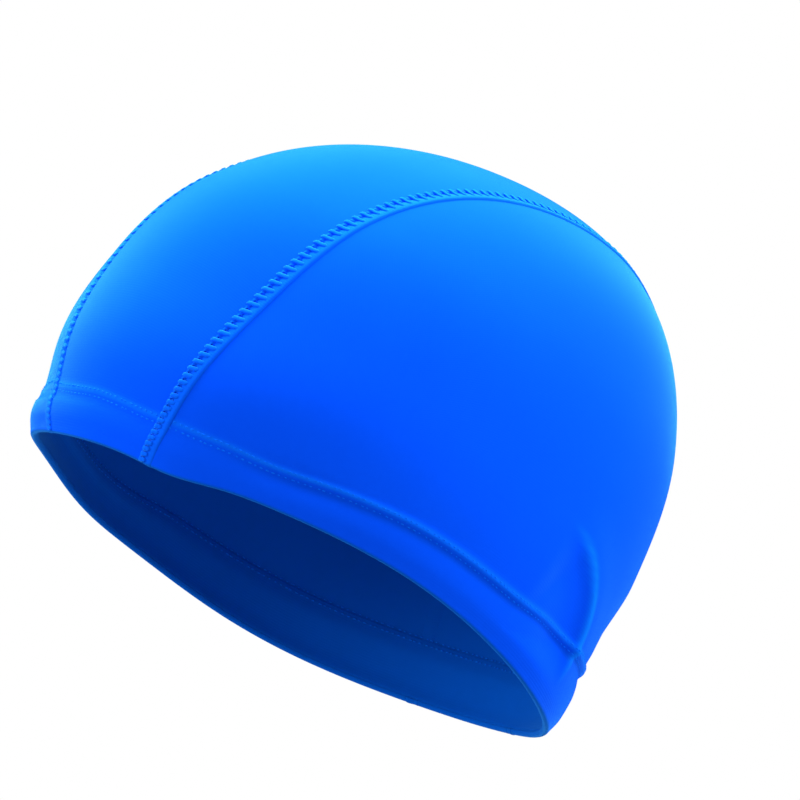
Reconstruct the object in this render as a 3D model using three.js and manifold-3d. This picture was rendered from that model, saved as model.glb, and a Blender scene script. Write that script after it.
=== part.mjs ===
import * as THREE from 'three';
import { mergeVertices } from 'three/addons/utils/BufferGeometryUtils.js';
import Module from 'manifold-3d';

// Lengths are in millimetres and angles in degrees.
// The wearer faces -Y and the wearer's left side is at +X.

// The rim's plan, measured from the point under the crown.
const rimFront = 105; // to the forehead
const rimBack = 85; // to the nape
const rimHalfWidth = 82.5; // to either side
const foreheadSquareness = 1.9; // 2 is an ellipse, and less is more pointed
const napeSquareness = 1.9;
const rimDip = 1.3; // how far the rim dips at the forehead and nape, and lifts at the sides
const rimSway = 2.6; // how far it dips again over the brow and behind the ears
const rimHang = 3.4; // how much lower it hangs in places

// The dome.
const capHeight = 142.2; // from the rim's plane to the top of the crown
const crownShift = 16; // how far the top of the crown lies towards the nape
const wornTilt = 38; // slope of the rim's plane, down from the forehead to the nape

// The cloth.
const panelWall = 1.2;
const hemWall = 1;
const pieceGap = 0.3;
const hemAtNape = 20; // how far the hem is turned up there, where it is highest
const hemSwell = 0.8; // how far the folded hem stands out over its stitched line
const hemSwellAt = 6; // height of the fullest part of the hem

// The flat seams between the panels, as distances from the middle line in plan.
const seamWidth = 4.7;
const seamRise = 0.8;
const seamAtForehead = 35.3;
const seamAtCrown = 34.7;
const seamAtNape = 34;
const seamPull = 12.3; // how far the hem draws the seams towards the middle line
const seamPullHeight = 85; // where that begins, above the rim

// The cloth's soft dents.
const foldDepth = 4;

// The sharp fold above the nape, on the wearer's left. Its crest is part of a circle on the
// cloth, and its hollow lies within the circle.
const creaseAround = 87.2; // the circle's middle, in degrees from the forehead
const creaseMiddle = 6; // and its height above the rim
const creaseRadius = 38.3;
const creaseCrest = 1.2; // how far the crest stands out
const creaseHollow = 3; // how deep the hollow is
const creaseHollowAt = 12; // how far within the crest the hollow is deepest

// How the dome is fuller or slimmer than half an ellipsoid, from the rim (up 0) to the
// crown (up 1). Lengths are shares of rimFront, rimBack and rimHalfWidth.
const sections = [
  { up: 0, front: 1, back: 1, side: 1 },
  { up: 0.12, front: 1.11, back: 1, side: 1.087 },
  { up: 0.25, front: 1.166, back: 1.06, side: 1.124 },
  { up: 0.45, front: 1.252, back: 1.191, side: 1.18 },
  { up: 0.7, front: 1.254, back: 1.211, side: 1.251 },
  { up: 1, front: 1.117, back: 1.117, side: 1.168 },
];

// Where the rim hangs lower: around and width are in degrees from the forehead towards the
// wearer's left, and depth is a share of rimHang.
const hangs = [
  { around: 17, width: 8, depth: 0.55 },
  { around: 286, width: 21, depth: 1 },
];

// The hem's height around the rim, as shares of hemAtNape. around is the angle from the
// forehead to either side.
const hemTurns = [
  { around: 0, high: 0.68 },
  { around: 9, high: 0.65 },
  { around: 16, high: 0.68 },
  { around: 22, high: 0.63 },
  { around: 32, high: 0.54 },
  { around: 45, high: 0.62 },
  { around: 60, high: 0.7 },
  { around: 85, high: 0.75 },
  { around: 100, high: 0.88 },
  { around: 130, high: 0.97 },
  { around: 180, high: 1 },
];

// Dents in the cloth of the hem and above it. around is the angle from the
// forehead towards the wearer's left, low and high are shares of capHeight, lean is how many
// degrees the fold turns from low to high, width is in degrees, depth is a share of
// foldDepth, and a skew below 1 brings the deepest place nearer to low.
const folds = [
  { around: 30, low: 0.01, high: 0.11, lean: 12, width: 11, depth: 0.3, skew: 1 },
  { around: 136, low: 0.08, high: 0.36, lean: -6, width: 12, depth: 0.45, skew: 1 },
  { around: 142, low: 0.085, high: 0.19, lean: 0, width: 13, depth: 0.42, skew: 1 },
  { around: 320, low: 0.065, high: 0.42, lean: 0, width: 29, depth: 0.65, skew: 0.4 },
];

// The grid of the cloth: columns around, and more of them where the folds are.
const columnsAround = 64;
const foldColumns = 13;
const foldsFrom = 85;
const foldsTo = 130;
const rowsOverHem = 12;

const radians = Math.PI / 180;

// A smooth curve through one column of a table, along another column.
function tableCurve(rows, along, column, at) {
  let i = 0;
  while (i < rows.length - 2 && rows[i + 1][along] < at) i += 1;
  const slope = (k) => {
    const a = rows[Math.max(k - 1, 0)];
    const b = rows[Math.min(k + 1, rows.length - 1)];
    return (b[column] - a[column]) / (b[along] - a[along]);
  };
  const a = rows[i];
  const b = rows[i + 1];
  const span = b[along] - a[along];
  const x = (at - a[along]) / span;
  const rise = slope(i) * span * x * (1 - x) ** 2;
  const fall = slope(i + 1) * span * x * x * (1 - x);
  return a[column] + (b[column] - a[column]) * x * x * (3 - 2 * x) + rise - fall;
}

function sectionShare(column, up) {
  return tableCurve(sections, 'up', column, up);
}

function smoothStep(from, to, x) {
  const y = Math.min(Math.max((x - from) / (to - from), 0), 1);
  return y * y * (3 - 2 * y);
}

// How far along the way from the rim to the crown a height above the rim lies.
function upAt(height) {
  return Math.asin(Math.min(height / capHeight, 1)) / (90 * radians);
}

function hemHeight(around) {
  const fromForehead = Math.min(around, 360 - around);
  return hemAtNape * tableCurve(hemTurns, 'around', 'high', fromForehead);
}

// The lesser angle between two directions around the rim, from -180 to 180.
function turnBetween(from, to) {
  return ((to - from + 540) % 360) - 180;
}

// How far the rim dips: it waves twice and three times around, and each hang is a bell.
function rimWave(around) {
  const a = around * radians;
  let dip = rimDip * Math.cos(2 * a) + rimSway * Math.cos(3 * a);
  for (const hang of hangs) {
    const aside = turnBetween(hang.around, around) / hang.width;
    dip += rimHang * hang.depth * Math.exp(-aside * aside);
  }
  return dip;
}

// The smooth dome: an egg-shaped plan that closes over the crown on a quarter turn.
function domePoint(around, up) {
  const a = around * radians;
  const toFront = Math.cos(a);
  const toSide = Math.sin(a);
  const inFront = toFront > 0;
  const length = inFront
    ? rimFront * sectionShare('front', up)
    : rimBack * sectionShare('back', up);
  const width = rimHalfWidth * sectionShare('side', up);
  const squareness = inFront ? foreheadSquareness : napeSquareness;
  const power = 2 + (squareness - 2) * Math.sqrt(Math.abs(toFront));
  const sum = Math.abs(toFront / length) ** power + Math.abs(toSide / width) ** power;
  const closing = Math.cos(up * 90 * radians);
  const reach = sum ** (-1 / power) * closing;
  return new THREE.Vector3(
    toSide * reach,
    -toFront * reach + crownShift * (1 - closing),
    capHeight * Math.sin(up * 90 * radians) - rimWave(around) * closing ** 3,
  );
}

// The dome's outward direction, from two short steps along it.
function domeNormal(around, up) {
  if (up > 0.999) return new THREE.Vector3(0, 0, 1);
  const step = 0.01;
  const alongSide = domePoint(around + 1, up).sub(domePoint(around - 1, up));
  const upwards = domePoint(around, Math.min(up + step, 0.9999));
  upwards.sub(domePoint(around, Math.max(up - step, 0)));
  return alongSide.cross(upwards).normalize();
}

// The sharp fold: a steep step up to the crest from within the circle, a gentle one down
// beyond it, and the hollow. It fades where the circle nears the hem and the seam.
function creaseRelief(around, up) {
  const reach = rimHalfWidth * sectionShare('side', up);
  const aside = turnBetween(creaseAround, around) * radians * reach;
  const above = capHeight * Math.sin(up * 90 * radians) - creaseMiddle;
  const direction = Math.atan2(above, aside) / radians;
  const fade = smoothStep(0, 20, direction) * smoothStep(88, 60, direction);
  const past = Math.hypot(aside, above) - creaseRadius;
  const width = past > 0 ? 0.25 * creaseRadius : 0.07 * creaseRadius;
  const crest = creaseCrest * Math.exp(-((past / width) ** 2));
  const into = Math.max(-past / creaseHollowAt, 0);
  return fade * (crest - creaseHollow * into * Math.exp((1 - into * into) / 2));
}

// How far the cloth stands out: the hem swells over its fold and dips at its stitched
// line, and each fold is a bell across its own leaning line that fades at both ends.
function clothRelief(around, up) {
  const height = capHeight * Math.sin(up * 90 * radians);
  const full = smoothStep(0, hemSwellAt, height);
  let out = hemSwell * full * smoothStep(hemHeight(around), hemSwellAt, height);
  out += creaseRelief(around, up);
  for (const fold of folds) {
    const low = fold.low * capHeight;
    const high = fold.high * capHeight;
    const share = (height - low) / (high - low);
    if (share <= 0 || share >= 1) continue;
    const middle = fold.around + fold.lean * share;
    const across = turnBetween(middle, around) / fold.width;
    const fade = Math.sin(share ** fold.skew * 180 * radians) ** 2;
    out -= foldDepth * fold.depth * fade * Math.exp(-across * across);
  }
  return out;
}

// The columns' angles, evenly spread, with the folds' own columns between them.
function columnAngles() {
  const angles = [];
  for (let i = 0; i < columnsAround; i += 1) angles.push((360 * i) / columnsAround);
  for (let i = 0; i < foldColumns; i += 1) {
    angles.push(foldsFrom + ((foldsTo - foldsFrom) * (i + 0.5)) / foldColumns);
  }
  angles.sort((a, b) => a - b);
  return angles.filter((angle, i) => i === 0 || angle - angles[i - 1] > 1);
}

// A row's share of the way up: four steps through the hem, then even steps to the crown.
function rowShare(row, around) {
  const hem = hemHeight(around);
  const heights = [0, hemSwellAt / 2, hemSwellAt, (hemSwellAt + hem) / 2, hem];
  if (row < heights.length) return upAt(heights[row]);
  const start = upAt(hem);
  return start + (1 - start) * ((row - heights.length + 1) / rowsOverHem) ** 1.3;
}

const angles = columnAngles();
const hemRows = 5;
const allRows = hemRows + rowsOverHem - 1;

// One layer of the cloth's grid, set out from the outer face by a distance.
function layer(distance, rowCount) {
  return Array.from({ length: rowCount }, (_, row) =>
    angles.map((around) => {
      const up = rowShare(row, around);
      const out = clothRelief(around, up) + distance;
      return domePoint(around, up).addScaledVector(domeNormal(around, up), out);
    }));
}

// A closed body from rings of points, down the inner face and up the outer one. Each ring
// joins the next, and the last joins the first, or both ends close on a point each. Both
// faces are split along the same diagonals, so that nested layers keep their gap.
function ringBody(inside, outside, startPoint, endPoint) {
  const rings = [...inside, ...outside];
  const count = rings[0].length;
  const points = [];
  for (const ring of rings) for (const p of ring) points.push(p.x, p.y, p.z);
  const faces = [];
  const joined = startPoint ? rings.length - 1 : rings.length;
  for (let j = 0; j < joined; j += 1) {
    const a = j * count;
    const b = ((j + 1) % rings.length) * count;
    for (let i = 0; i < count; i += 1) {
      const next = (i + 1) % count;
      if (j < inside.length) {
        faces.push(a + i, a + next, b + i);
        faces.push(a + next, b + next, b + i);
      } else {
        faces.push(a + i, a + next, b + next);
        faces.push(a + i, b + next, b + i);
      }
    }
  }
  if (startPoint) {
    const start = points.length / 3;
    points.push(startPoint.x, startPoint.y, startPoint.z);
    const end = start + 1;
    points.push(endPoint.x, endPoint.y, endPoint.z);
    const last = (rings.length - 1) * count;
    for (let i = 0; i < count; i += 1) {
      const next = (i + 1) % count;
      faces.push(start, next, i);
      faces.push(last + i, last + next, end);
    }
  }
  const geometry = new THREE.BufferGeometry();
  geometry.setAttribute('position', new THREE.Float32BufferAttribute(points, 3));
  geometry.setIndex(faces);
  return geometry;
}

// The dome as a wall between an outer and an inner distance from the cloth's outer face.
function domeWall(outer, inner) {
  const top = (distance) => domePoint(0, 1).add(new THREE.Vector3(0, 0, distance));
  const inside = layer(inner, allRows).reverse();
  const outside = layer(outer, allRows);
  return ringBody(inside, outside, top(inner), top(outer));
}

// The ply that is folded up inside the rim.
function hemPly() {
  const outer = -panelWall - pieceGap;
  const inside = layer(outer - hemWall, hemRows).reverse();
  return ringBody(inside, layer(outer, hemRows));
}

// The seam's distance from the middle line at a distance in front of the crown.
function seamLine(front) {
  const end = front > 0 ? seamAtForehead : seamAtNape;
  const share = front > 0 ? front / rimFront : -front / rimBack;
  return seamAtCrown + (end - seamAtCrown) * share * share;
}

// A tall block whose plan lies between two lines beside the seam's line. Near the rim it
// is drawn towards the middle line, as the seam is.
function planBlock(nearLine, farLine) {
  const steps = 24;
  const from = -1.3 * rimBack;
  const to = 1.3 * rimFront;
  const shape = new THREE.Shape();
  for (let i = 0; i <= steps; i += 1) {
    const front = from + ((to - from) * i) / steps;
    const x = farLine(front);
    if (i === 0) shape.moveTo(x, -front);
    else shape.lineTo(x, -front);
  }
  for (let i = steps; i >= 0; i -= 1) {
    const front = from + ((to - from) * i) / steps;
    shape.lineTo(nearLine(front), -front);
  }
  const depth = 1.4 * capHeight;
  const layers = 36;
  const block = new THREE.ExtrudeGeometry(shape, { depth, steps: layers, bevelEnabled: false });
  block.translate(0, 0, -0.2 * capHeight);
  const place = block.attributes.position;
  for (let i = 0; i < place.count; i += 1) {
    const near = Math.max(0, 1 - place.getZ(i) / seamPullHeight);
    const pull = seamPull * Math.min(near, 1.5) ** 2;
    place.setX(i, place.getX(i) - Math.sign(place.getX(i)) * pull);
  }
  return block;
}

const wasm = await Module();
wasm.setup();

function toManifold(geometry) {
  const bare = geometry.clone();
  bare.deleteAttribute('normal');
  bare.deleteAttribute('uv');
  const merged = mergeVertices(bare, 1e-5);
  return new wasm.Manifold(new wasm.Mesh({
    numProp: 3,
    vertProperties: new Float32Array(merged.attributes.position.array),
    triVerts: new Uint32Array(merged.index.array),
  }));
}

function fromManifold(solid) {
  const mesh = solid.getMesh();
  const geometry = new THREE.BufferGeometry();
  const position = new THREE.BufferAttribute(new Float32Array(mesh.vertProperties), 3);
  geometry.setAttribute('position', position);
  geometry.setIndex(new THREE.BufferAttribute(new Uint32Array(mesh.triVerts), 1));
  return geometry;
}

const halfSeam = seamWidth / 2;
const farOut = 1.5 * rimHalfWidth;
const panelShell = toManifold(domeWall(0, -panelWall));
const seamShell = toManifold(domeWall(seamRise, -panelWall));

const centreBlock = toManifold(planBlock(
  (front) => -seamLine(front) + halfSeam + pieceGap,
  (front) => seamLine(front) - halfSeam - pieceGap,
));
const leftBlock = toManifold(planBlock(
  (front) => seamLine(front) + halfSeam + pieceGap,
  () => farOut,
));
const rightBlock = toManifold(planBlock(
  () => -farOut,
  (front) => -seamLine(front) - halfSeam - pieceGap,
));
const leftStrip = toManifold(planBlock(
  (front) => seamLine(front) - halfSeam,
  (front) => seamLine(front) + halfSeam,
));
const rightStrip = toManifold(planBlock(
  (front) => -seamLine(front) - halfSeam,
  (front) => -seamLine(front) + halfSeam,
));

const pieces = [
  { name: 'centre_panel', colour: 0x0a5cf2, solid: panelShell.intersect(centreBlock) },
  { name: 'left_panel', colour: 0x0453ee, solid: panelShell.intersect(leftBlock) },
  { name: 'right_panel', colour: 0x0453ee, solid: panelShell.intersect(rightBlock) },
  { name: 'left_seam', colour: 0x2b7bff, solid: seamShell.intersect(leftStrip) },
  { name: 'right_seam', colour: 0x2b7bff, solid: seamShell.intersect(rightStrip) },
  { name: 'turned_hem', colour: 0x033a9e, solid: toManifold(hemPly()) },
];

// The cap is tilted as it is worn, with the top of the hollow at the origin. That top is
// found on the inner face, in small steps along the middle line.
const tilt = new THREE.Matrix4().makeRotationX(-wornTilt * radians);
const seat = new THREE.Vector3(0, 0, -Infinity);
for (const around of [0, 180]) {
  for (let step = 0; step < 1000; step += 1) {
    const up = step / 1000;
    const out = clothRelief(around, up) - panelWall;
    const p = domePoint(around, up).addScaledVector(domeNormal(around, up), out);
    p.applyMatrix4(tilt);
    if (p.z > seat.z) seat.copy(p);
  }
}

const cap = new THREE.Group();
cap.name = 'swim_cap';
for (const piece of pieces) {
  const geometry = fromManifold(piece.solid);
  geometry.applyMatrix4(tilt);
  geometry.translate(0, -seat.y, -seat.z);
  const material = new THREE.MeshStandardMaterial({ color: piece.colour, roughness: 0.7 });
  const mesh = new THREE.Mesh(geometry, material);
  mesh.name = piece.name;
  cap.add(mesh);
}

export default cap;
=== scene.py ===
import math

import bpy
import numpy as np
from mathutils import Matrix, Vector


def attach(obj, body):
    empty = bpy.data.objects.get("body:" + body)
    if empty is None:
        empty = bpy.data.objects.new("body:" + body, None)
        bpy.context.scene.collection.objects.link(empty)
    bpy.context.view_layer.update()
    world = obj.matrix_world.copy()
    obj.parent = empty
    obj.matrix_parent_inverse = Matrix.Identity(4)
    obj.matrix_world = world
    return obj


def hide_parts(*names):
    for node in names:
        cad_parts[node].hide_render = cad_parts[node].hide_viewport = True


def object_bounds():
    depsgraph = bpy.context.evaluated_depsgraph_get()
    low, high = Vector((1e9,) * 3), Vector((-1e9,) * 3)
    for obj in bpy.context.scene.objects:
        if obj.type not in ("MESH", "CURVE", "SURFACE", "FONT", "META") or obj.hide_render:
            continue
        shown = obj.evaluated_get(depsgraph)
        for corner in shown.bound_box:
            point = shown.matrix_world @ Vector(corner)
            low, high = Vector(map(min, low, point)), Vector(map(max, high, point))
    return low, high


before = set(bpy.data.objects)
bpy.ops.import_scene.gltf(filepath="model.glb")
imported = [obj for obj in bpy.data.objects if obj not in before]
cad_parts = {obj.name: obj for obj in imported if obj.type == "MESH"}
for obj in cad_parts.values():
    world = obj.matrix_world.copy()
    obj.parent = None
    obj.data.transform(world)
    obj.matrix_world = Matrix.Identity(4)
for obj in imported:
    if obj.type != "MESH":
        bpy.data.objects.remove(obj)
cadLow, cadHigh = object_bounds()
print("frame loaded")

# The cap's form, in millimetres and degrees, as its solids have it.
dome = {
    "rimFront": 105.0,
    "rimBack": 85.0,
    "rimHalfWidth": 82.5,
    "foreheadSquareness": 1.9,
    "napeSquareness": 1.9,
    "rimDip": 1.3,
    "rimSway": 2.6,
    "rimHang": 3.4,
    "hangs": [(17.0, 8.0, 0.55), (286.0, 21.0, 1.0)],  # around, width and depth
    "height": 142.2,
    "crownShift": 16.0,
    "tilt": 38.0,
    "seatBack": 8.788,  # where the top of the hollow lies once the cap is tilted
    "seatHeight": 133.013,
    "up": [0, 0.12, 0.25, 0.45, 0.7, 1],
    "front": [1, 1.11, 1.166, 1.252, 1.254, 1.117],
    "back": [1, 1, 1.06, 1.191, 1.211, 1.117],
    "side": [1, 1.087, 1.124, 1.18, 1.251, 1.168],
}

cloth = {
    "wall": 1.2,
    "foldRadius": 1.25,  # of the turned rim, outside
    "hemAround": [0, 9, 16, 22, 32, 45, 60, 85, 100, 130, 180],
    "hemHigh": [13.6, 13.0, 13.6, 12.6, 10.8, 12.4, 14.0, 15.0, 17.6, 19.4, 20.0],
    "hemSwell": 0.8,
    "hemSwellAt": 6.0,
    "lipRise": 0.9,  # the roll of cloth along the hem's stitched line
    "lipWidth": 1.15,
    "lipInFront": 0.25,  # its share over the forehead
    "lipGrows": (18, 42),  # degrees from the forehead between which it grows to the full
    "lipOnRight": 0.4,  # its share on the wearer's right
    "grooveDepth": 0.35,
    "grooveAt": -2.2,  # from that line
    "grooveWidth": 1.4,
    "foldDepth": 4.0,
}

# Dents: around, low, high, lean, width, depth and skew, as in the solids.
folds = [
    (30.0, 0.01, 0.11, 12, 11, 0.3, 1),
    (136.0, 0.08, 0.36, -6, 12, 0.45, 1),
    (142.0, 0.085, 0.19, 0, 13, 0.42, 1),
    (320.0, 0.065, 0.42, 0, 29, 0.65, 0.4),
]

# The sharp fold above the nape, as part of a circle on the cloth.
crease = {
    "around": 87.2,
    "middle": 6.0,
    "radius": 38.3,
    "crest": 1.2,
    "hollow": 3.0,
    "hollowAt": 12.0,
    "beyond": 0.25,  # the crest's widths on both sides of the circle, as shares of its radius
    "within": 0.07,
    "fadeAtHem": (0, 20),  # directions from the circle's middle, in degrees
    "fadeAtSeam": (88, 60),
}

seamPlan = {
    "atForehead": 35.3,
    "atCrown": 34.7,
    "atNape": 34.0,
    "pull": 12.3,
    "pullHeight": 85.0,
    "under": 0.6,  # how far each panel stops short of the seam's middle
}


def smoothStep(low, high, x):  # 0 to 1 on a cubic with level ends
    t = np.clip((x - low) / (high - low), 0, 1)
    return t * t * (3 - 2 * t)


# A smooth curve through a table: cubic pieces, each with its neighbours' slopes.
def tableCurve(xs, ys, at):
    x, y = np.array(xs, dtype=float), np.array(ys, dtype=float)
    slopes = np.empty_like(y)
    slopes[1:-1] = (y[2:] - y[:-2]) / (x[2:] - x[:-2])
    slopes[0] = (y[1] - y[0]) / (x[1] - x[0])
    slopes[-1] = (y[-1] - y[-2]) / (x[-1] - x[-2])
    i = np.clip(np.searchsorted(x, at, side="right") - 1, 0, len(x) - 2)
    span = x[i + 1] - x[i]
    t = (at - x[i]) / span
    level = y[i] + (y[i + 1] - y[i]) * t * t * (3 - 2 * t)
    return level + span * (slopes[i] * t * (1 - t) ** 2 - slopes[i + 1] * t * t * (1 - t))


def sectionShares(column, up):
    return tableCurve(dome["up"], dome[column], up)


def turnBetween(start, end):  # the lesser angle between two directions, in degrees
    return (end - start + 540) % 360 - 180


def rimWave(around):  # two waves and three waves round the rim, and a bell for each hang
    dip = dome["rimDip"] * np.cos(2 * around) + dome["rimSway"] * np.cos(3 * around)
    for middle, width, depth in dome["hangs"]:
        aside = turnBetween(middle, np.degrees(around)) / width
        dip = dip + dome["rimHang"] * depth * np.exp(-aside * aside)
    return dip


# The dome on a disc: the crown in its middle, the rim at radius 1, the forehead at fore 1
# and the wearer's left at left 1. The plan is an egg of two unlike halves, which shrinks
# with the cosine of the way up as the height grows with its sine, on a waved rim.
def domePoints(fore, left):
    around = np.arctan2(left, fore)
    up = 1 - np.hypot(fore, left)
    toFront, toSide = np.cos(around), np.sin(around)
    inFront = toFront > 0
    length = np.where(inFront, dome["rimFront"] * sectionShares("front", up),
                      dome["rimBack"] * sectionShares("back", up))
    width = dome["rimHalfWidth"] * sectionShares("side", up)
    square = np.where(inFront, dome["foreheadSquareness"], dome["napeSquareness"])
    power = 2 + (square - 2) * np.sqrt(np.abs(toFront))
    closing = np.cos(up * math.pi / 2)
    total = np.abs(toFront / length) ** power + np.abs(toSide / width) ** power
    reach = total ** (-1 / power) * closing
    return np.stack([
        toSide * reach,
        -toFront * reach + dome["crownShift"] * (1 - closing),
        dome["height"] * np.sin(up * math.pi / 2) - rimWave(around) * closing ** 3,
    ], axis=-1)


def unit(vectors):
    return vectors / np.maximum(np.linalg.norm(vectors, axis=-1, keepdims=True), 1e-9)


def domeNormals(fore, left):  # the cross product of a step towards the front and one to the left
    step = 0.002
    ahead = domePoints(fore + step, left) - domePoints(fore - step, left)
    aside = domePoints(fore, left + step) - domePoints(fore, left - step)
    return unit(np.cross(ahead, aside))


def heights(fore, left):  # above the rim, along the dome's quarter turn
    return dome["height"] * np.sin((1 - np.hypot(fore, left)) * math.pi / 2)


def upAt(height):
    return np.arcsin(np.minimum(height / dome["height"], 1)) / (math.pi / 2)


def hemHeights(around):
    fromForehead = np.degrees(np.arccos(np.clip(np.cos(around), -1, 1)))
    return tableCurve(cloth["hemAround"], cloth["hemHigh"], fromForehead)


# The sharp fold: a steep step up to the crest from within its circle, a gentle one down
# beyond it, and the hollow. It fades where the circle nears the hem and the seam.
def creasePlace(degrees, up, height):
    reach = dome["rimHalfWidth"] * sectionShares("side", up)
    aside = np.radians(turnBetween(crease["around"], degrees)) * reach
    above = height - crease["middle"]
    direction = np.degrees(np.arctan2(above, aside))
    fade = smoothStep(*crease["fadeAtHem"], direction)
    fade = fade * smoothStep(*crease["fadeAtSeam"], direction)
    return fade, np.hypot(aside, above) - crease["radius"]


def creaseRelief(degrees, up, height):
    fade, past = creasePlace(degrees, up, height)
    width = np.where(past > 0, crease["beyond"], crease["within"]) * crease["radius"]
    crest = crease["crest"] * np.exp(-((past / width) ** 2))
    into = np.maximum(-past / crease["hollowAt"], 0)
    return fade * (crest - crease["hollow"] * into * np.exp((1 - into * into) / 2))


def nearSide(degrees):  # 1 on the wearer's left, where the hem's lip is full, and less on the right
    return 1 - (1 - cloth["lipOnRight"]) * smoothStep(0, -20, turnBetween(0, degrees))


# How far the cloth stands out: the swell of the hem, the lip and groove at its stitched
# line, and each fold as a bell across a leaning line that fades at both ends.
def clothRelief(fore, left, lipped=1.0):
    around = np.arctan2(left, fore)
    degrees = np.degrees(around)
    height = heights(fore, left)
    hem = hemHeights(around)
    out = cloth["hemSwell"] * smoothStep(0, cloth["hemSwellAt"], height)
    out = out * smoothStep(hem, cloth["hemSwellAt"], height)
    grown = smoothStep(*cloth["lipGrows"], np.abs(degrees)) * nearSide(degrees)
    strength = lipped * (cloth["lipInFront"] + (1 - cloth["lipInFront"]) * grown)
    over = height - hem
    lip = np.exp(-((over / cloth["lipWidth"]) ** 2))
    groove = np.exp(-(((over - cloth["grooveAt"]) / cloth["grooveWidth"]) ** 2))
    out = out + strength * (cloth["lipRise"] * lip - cloth["grooveDepth"] * groove)
    out = out + creaseRelief(degrees, 1 - np.hypot(fore, left), height)
    for middle, low, high, lean, width, depth, skew in folds:
        share = np.clip((height / dome["height"] - low) / (high - low), 0, 1)
        across = turnBetween(middle + lean * share, degrees) / width
        fade = np.sin(share ** skew * math.pi) ** 2
        out = out - cloth["foldDepth"] * depth * fade * np.exp(-across * across)
    return out


# The cloth's outer face, moved out by a distance. The hem's lip doesn't show inside the cap.
def clothPoints(fore, left, distance):
    out = clothRelief(fore, left, np.asarray(distance) > -0.5) + distance
    return domePoints(fore, left) + domeNormals(fore, left) * out[..., None]


# Points round the turned rim: a half circle from the outer face to the inner one, about a
# line that lies foldRadius inside the cloth's outer face.
def rimRoll(fore, left, turn, radius):
    down = unit(domePoints(fore * 1.002, left * 1.002) - domePoints(fore, left))
    out = clothRelief(fore, left) - cloth["foldRadius"] + radius * np.cos(turn)
    point = domePoints(fore, left) + domeNormals(fore, left) * out[..., None]
    return point + down * (radius * np.sin(turn))[..., None]


# The seam's distance from the middle line: it changes with the square of the way to either
# end, and the hem draws it in near the rim.
def seamDistance(front, height):
    inFront = front > 0
    atEnd = np.where(inFront, seamPlan["atForehead"], seamPlan["atNape"])
    part = np.where(inFront, front / dome["rimFront"], -front / dome["rimBack"])
    near = np.clip(1 - height / seamPlan["pullHeight"], 0, 1.5)
    pulled = seamPlan["pull"] * near ** 2
    return seamPlan["atCrown"] + (atEnd - seamPlan["atCrown"]) * part * part - pulled


def bisect(miss, low, high, steps=36):  # halves the range until miss changes sign at one place
    for _ in range(steps):
        middle = (low + high) / 2
        below = miss(middle) < 0
        low = np.where(below, middle, low)
        high = np.where(below, high, middle)
    return (low + high) / 2


rimStart = 1 - float(upAt(cloth["foldRadius"]))  # the disc radius where the rim's roll begins


# Lines from the forehead's rim to the nape's, each at a share of the seam's distance plus a
# shift. Each point is found by halving, along equal steps of fore.
def lengthwiseLines(shares, shifts, stations):
    shares = np.atleast_1d(shares).astype(float)[:, None]
    shifts = np.atleast_1d(shifts).astype(float)[:, None]

    def miss(fore, left):
        p = domePoints(fore, left)
        return p[..., 0] - shares * seamDistance(-p[..., 1], p[..., 2]) - shifts

    def atRim(angle):
        return rimStart * np.cos(angle), rimStart * np.sin(angle)

    quarter = np.full(shares.shape, math.pi / 2)
    first = bisect(lambda a: miss(*atRim(a)), quarter * 0, quarter)
    last = math.pi - bisect(lambda a: miss(*atRim(math.pi - a)), quarter * 0, quarter)
    start, end = rimStart * np.cos(first), rimStart * np.cos(last)
    fore = start + (end - start) * stations[None, :]
    widest = np.sqrt(np.maximum(rimStart ** 2 - fore ** 2, 0))
    left = bisect(lambda y: miss(fore, y), widest * 0, widest)
    return fore, left


def endDenseShares(total, fine, edge, coarse):  # 0 to 1, close together near both ends
    ends = np.arange(0, edge, fine)
    middle = np.linspace(edge, total - edge, int((total - 2 * edge) / coarse) + 1)
    return np.concatenate([ends, middle, total - ends[::-1]]) / total


def place(points):  # tilted as it is worn, with the top of the hollow at the origin, in metres
    a = math.radians(dome["tilt"])
    x, y, z = points[..., 0], points[..., 1], points[..., 2]
    return np.stack([
        x,
        y * math.cos(a) + z * math.sin(a) - dome["seatBack"],
        z * math.cos(a) - y * math.sin(a) - dome["seatHeight"],
    ], axis=-1) / 1000


def makeMesh(name, points, quads, uv=None, marks=None, material=None):
    mesh = bpy.data.meshes.new(name)
    quads = np.asarray(quads, dtype=np.int32)
    points = np.asarray(points, dtype=float).reshape(-1, 3)
    a, b, c, d = (points[quads[:, k]] for k in range(4))
    volume = np.einsum("ij,ij->i", a, np.cross(b, c)).sum()
    volume += np.einsum("ij,ij->i", a, np.cross(c, d)).sum()
    if volume < 0:
        quads = quads[:, ::-1]
    mesh.vertices.add(len(points))
    mesh.vertices.foreach_set("co", points.ravel())
    mesh.loops.add(quads.size)
    mesh.loops.foreach_set("vertex_index", quads.ravel())
    mesh.polygons.add(len(quads))
    mesh.polygons.foreach_set("loop_start", np.arange(0, quads.size, 4, dtype=np.int32))
    mesh.update(calc_edges=True)
    mesh.polygons.foreach_set("use_smooth", np.ones(len(quads), dtype=bool))
    if uv is not None:
        layer = mesh.uv_layers.new(name="cloth")
        layer.data.foreach_set("uv", np.asarray(uv).reshape(-1, 2)[quads.ravel()].ravel())
    for key, values in (marks or {}).items():
        mark = mesh.attributes.new(key, "FLOAT", "POINT")
        mark.data.foreach_set("value", np.asarray(values, dtype=float).ravel())
    mesh.validate()
    piece = bpy.data.objects.new(name, mesh)
    bpy.context.scene.collection.objects.link(piece)
    if material is not None:
        mesh.materials.append(material)
    return piece


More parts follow.
